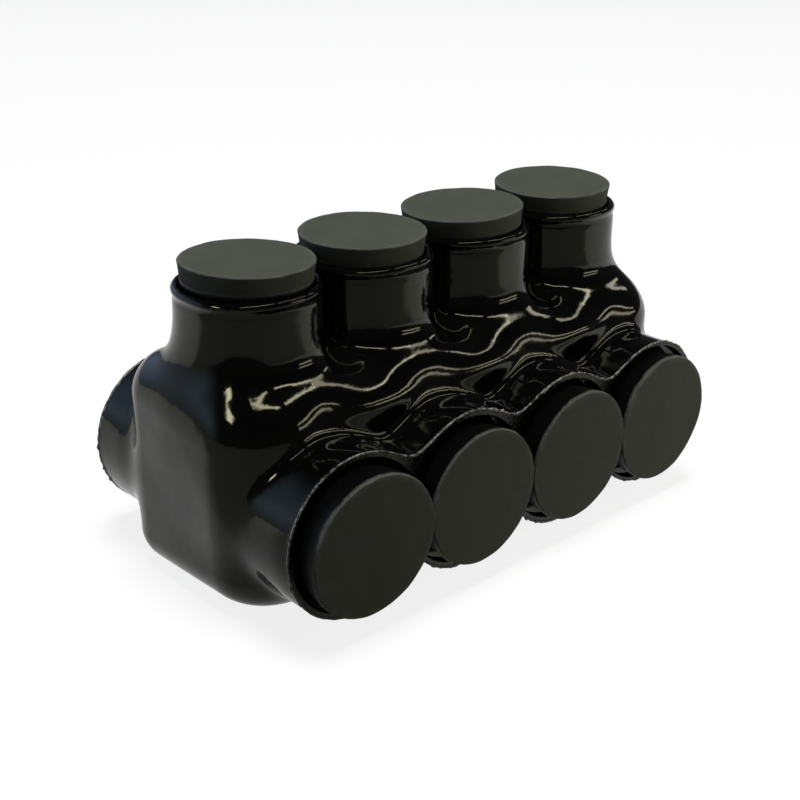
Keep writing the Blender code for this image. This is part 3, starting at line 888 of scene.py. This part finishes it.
for i, x in zip(PORTS, PORT_X):
    low, high = span(f"set_screw_{i}")
    screw = piece(f"threaded_screw_{i}", screw_mesh(f"threaded_screw_{i}", low, high), screw_finish)
    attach(screw, f"set_screw_{i}")
    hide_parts(f"set_screw_{i}")

    across, back, lift = COLLAR_SETTLE[i - 1]
    stands = [("screw_cap", f"screw_cap_{i}", CAP_R, CAP_FACE - CAP_FOOT, "up", CAP_LEAN[i - 1],
               (x + across, back, RIM + lift), RIM - CAP_FOOT),
              ("front_plug", f"front_port_plug_{i}", PLUG_R, PLUG_FACE - PLUG_FOOT, "front", FRONT_LEAN[i - 1],
               (x, -TRIM, WIRE_Z), TRIM - PLUG_FOOT),
              ("rear_plug", f"rear_port_plug_{i}", PLUG_R, PLUG_FACE - PLUG_FOOT, "rear", REAR_LEAN[i - 1],
               (x, TRIM, WIRE_Z), TRIM - PLUG_FOOT)]
    for n, (kind, cad_name, face_r, length, facing, lean, mouth, depth) in enumerate(stands):
        cling_and_shade = CAP_CLING_AND_SHADE if facing == "up" else PLUG_CLING_AND_SHADE
        mesh = stopper_mesh(f"rubber_{kind}_{i}", face_r + lean[3], length, 3 * i + n, cling_and_shade)
        stopper = piece(f"rubber_{kind}_{i}", mesh, rubber)
        seated(stopper, mouth, facing, lean, depth)
        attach(stopper, cad_name)
        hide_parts(cad_name)

# Studio --------------------------------------------------------------------------------------------

def level_sheet(name, left, right, reach, height):
    """A flat rectangle that faces up."""
    corners = [(left, -reach, height), (right, -reach, height), (right, reach, height), (left, reach, height)]
    return mesh_of(name, corners, [(0, 1, 2, 3)])


floor_finish, tree, shader = finish_of("pale_studio_floor")
shader.inputs["Base Color"].default_value = (0.22, 0.22, 0.22, 1)
shader.inputs["Roughness"].default_value = 0.9
glow = node(tree, "ShaderNodeEmission", values={"Color": (1, 1, 1, 1)})
rays = node(tree, "ShaderNodeLightPath").outputs
seen = maths(tree, "ADD", rays["Is Camera Ray"], rays["Is Glossy Ray"], use_clamp=True)
seen = maths(tree, "ADD", seen, rays["Is Transmission Ray"], use_clamp=True)
tree.links.new(maths(tree, "MULTIPLY", seen, 0.84), glow.inputs["Strength"])
both = node(tree, "ShaderNodeAddShader", {0: shader.outputs[0], 1: glow.outputs[0]})
tree.links.new(both.outputs[0], tree.nodes["Material Output"].inputs["Surface"])
floor = piece("studio_floor", level_sheet("studio_floor", -3000, 3000, 3000, -0.1), floor_finish)

world = bpy.data.worlds.new("studio_surround")
bpy.context.scene.world = world
world.use_nodes = True
sky = world.node_tree
direction = node(sky, "ShaderNodeTexCoord")
parts = node(sky, "ShaderNodeSeparateXYZ", {0: direction.outputs["Generated"]})


def sky_bands(stops):
    """Brightness of the surroundings from the horizon, nought, to straight up, one."""
    bands = node(sky, "ShaderNodeValToRGB", {0: parts.outputs["Z"]})
    for k, (height, colour) in enumerate(stops):
        stop = bands.color_ramp.elements[k] if k in (0, len(stops) - 1) else bands.color_ramp.elements.new(height)
        stop.position, stop.color = height, (*colour, 1)
    return bands.outputs[0]


# A cool, broad light stands far off behind the left end, and the rest of the room is dim.
towards_window = node(sky, "ShaderNodeVectorMath", {0: direction.outputs["Generated"]}, operation="DOT_PRODUCT",
                      values={1: (-0.5, 0.866, 0.0)})
near_window = ranged(sky, towards_window.outputs["Value"], 0.60, 0.88)
window = sky_bands([(0.0, (0.28, 0.31, 0.38)), (0.09, (0.34, 0.42, 0.60)), (0.24, (0.52, 0.70, 1.04)),
                    (0.38, (0.34, 0.50, 0.78)), (0.62, (0.20, 0.25, 0.38)), (0.74, (0.04, 0.05, 0.07)),
                    (1.0, (0.02, 0.02, 0.02))])
room = sky_bands([(0.0, (0.06, 0.06, 0.06)), (0.30, (0.04, 0.04, 0.045)), (0.60, (0.02, 0.02, 0.02)),
                  (1.0, (0.02, 0.02, 0.02))])
sky.links.new(blend_colour(sky, near_window, room, window), sky.nodes["Background"].inputs["Color"])
sky.nodes["Background"].inputs["Strength"].default_value = 1.0


def strip_lamp(name, start, end, width, radiance, colour=(1, 1, 1), look_at=(0, 0, 0.03)):
    """A long softbox between two points, in metres, turned to face the connector."""
    start, end = Vector(start), Vector(end)
    centre, along = (start + end) / 2, (end - start).normalized()
    away = centre - Vector(look_at)
    away = (away - along * away.dot(along)).normalized()
    light = bpy.data.lights.new(name, "AREA")
    light.shape, light.size, light.size_y = "RECTANGLE", (end - start).length, width
    light.energy = radiance * math.pi * light.size * light.size_y
    light.color = colour
    light.use_nodes = True
    tree = light.node_tree
    place = node(tree, "ShaderNodeSeparateXYZ", {0: node(tree, "ShaderNodeNewGeometry").outputs["Parametric"]})
    strength = None
    for side, soft in ((0, 0.25), (1, 0.8)):        # fades a little at its ends and broadly across
        off = maths(tree, "ABSOLUTE", maths(tree, "SUBTRACT", place.outputs[side], 0.5), 0.0)
        fade = ranged(tree, off, 0.5, 0.5 - soft / 2)
        strength = fade if strength is None else maths(tree, "MULTIPLY", strength, fade)
    tree.links.new(strength, tree.nodes["Emission"].inputs["Strength"])
    ob = bpy.data.objects.new(name, light)
    ob.matrix_world = Matrix((along, away.cross(along), away)).transposed().to_4x4()
    ob.location = centre
    bpy.context.scene.collection.objects.link(ob)
    return ob


WARM = (1.0, 0.96, 0.86)
# Softboxes that show in the gloss but leave dull surfaces alone: start and end in metres, width, radiance
MIRRORED = [("overhead_panel_left", (-1.13, -0.02, 0.64), (-0.82, -0.02, 0.64), 0.26, 17),
            ("overhead_strip_left", (-0.40, -0.27, 0.64), (0.13, -0.34, 0.64), 0.055, 12),
            ("overhead_strip_near", (0.19, -0.31, 0.64), (0.50, -0.24, 0.64), 0.055, 11),
            ("overhead_strip_middle", (0.42, -0.24, 0.64), (0.78, -0.155, 0.64), 0.08, 5.5),
            ("upper_front_tube", (0.40, -0.70, 0.325), (1.05, -0.70, 0.315), 0.07, 5.5),
            ("lower_front_tube", (0.40, -0.70, 0.193), (1.05, -0.70, 0.183), 0.07, 5)]
for name, start, end, width, radiance in MIRRORED:
    strip_lamp(name, start, end, width, radiance, WARM).visible_diffuse = False
strip_lamp("overhead_strip_far", (0.92, -0.125, 0.64), (1.30, -0.03, 0.64), 0.10, 4.5, WARM)
# Two soft lights that show in no gloss
soft_top = strip_lamp("soft_top", (-0.25, 0, 1.1), (0.25, 0, 1.1), 0.5, 22.5, (1, 1, 1))
fill = strip_lamp("right_fill", (0.11, -0.20, 0.09), (0.19, -0.16, 0.09), 0.09, 9, WARM)
for lamp in (soft_top, fill):
    lamp.visible_glossy = lamp.visible_camera = False

# A dark see-through card, hidden from the camera, lies just over the floor, so that the gloss mirrors something
# dim there. It is densest towards the front left and fades out to the right.
card_finish, tree, shader = finish_of("dark_studio_card")
shader.inputs["Base Color"].default_value = (0.06, 0.06, 0.06, 1)
shader.inputs["Roughness"].default_value = 0.9
spot = node(tree, "ShaderNodeTexCoord").outputs["Object"]
back_right = node(tree, "ShaderNodeVectorMath", {0: spot}, operation="DOT_PRODUCT", values={1: (0.64, 0.77, 0.0)})
thick = ranged(tree, back_right.outputs["Value"], -0.030, -0.058, 0.24, 0.74)
across = node(tree, "ShaderNodeSeparateXYZ", {0: spot}).outputs["X"]
tree.links.new(maths(tree, "MULTIPLY", thick, ranged(tree, across, 0.41, 0.20)), shader.inputs["Alpha"])
card = piece("dark_card", level_sheet("dark_card", -2990, 420, 2990, 0.5), card_finish)
card.visible_camera = False
card.visible_shadow = False

# The camera stands where the photograph was taken from, looking down the row from the front left. Its place was
# fitted to the faces of the stoppers.
AZIMUTH, ELEVATION, ROLL = math.radians(-42.8014), math.radians(23.48), math.radians(0.5828)
AWAY, SHIFT_RIGHT, SHIFT_UP = 9.8544 * PITCH, 0.10688 * PITCH, 1.32818 * PITCH
SENSOR_WIDTH, LENS = 36, 61.2175
back = Vector((math.sin(AZIMUTH) * math.cos(ELEVATION), -math.cos(AZIMUTH) * math.cos(ELEVATION),
               math.sin(ELEVATION)))
right = back.cross(Vector((0, 0, -1))).normalized()
up = back.cross(right)
right, up = (right * math.cos(ROLL) + up * math.sin(ROLL), up * math.cos(ROLL) - right * math.sin(ROLL))
eye = Vector((0, 0, CAP_FACE)) - SHIFT_RIGHT * right - SHIFT_UP * up + AWAY * back
camera_data = bpy.data.cameras.new("camera")
camera_data.sensor_width, camera_data.lens = SENSOR_WIDTH, LENS
camera_data.clip_start, camera_data.clip_end = 0.01, 20
camera = bpy.data.objects.new("camera", camera_data)
camera.matrix_world = Matrix((right, up, back)).transposed().to_4x4()
camera.location = eye * MM
bpy.context.scene.collection.objects.link(camera)
bpy.context.scene.camera = camera
bpy.context.scene.view_settings.view_transform = "Standard"
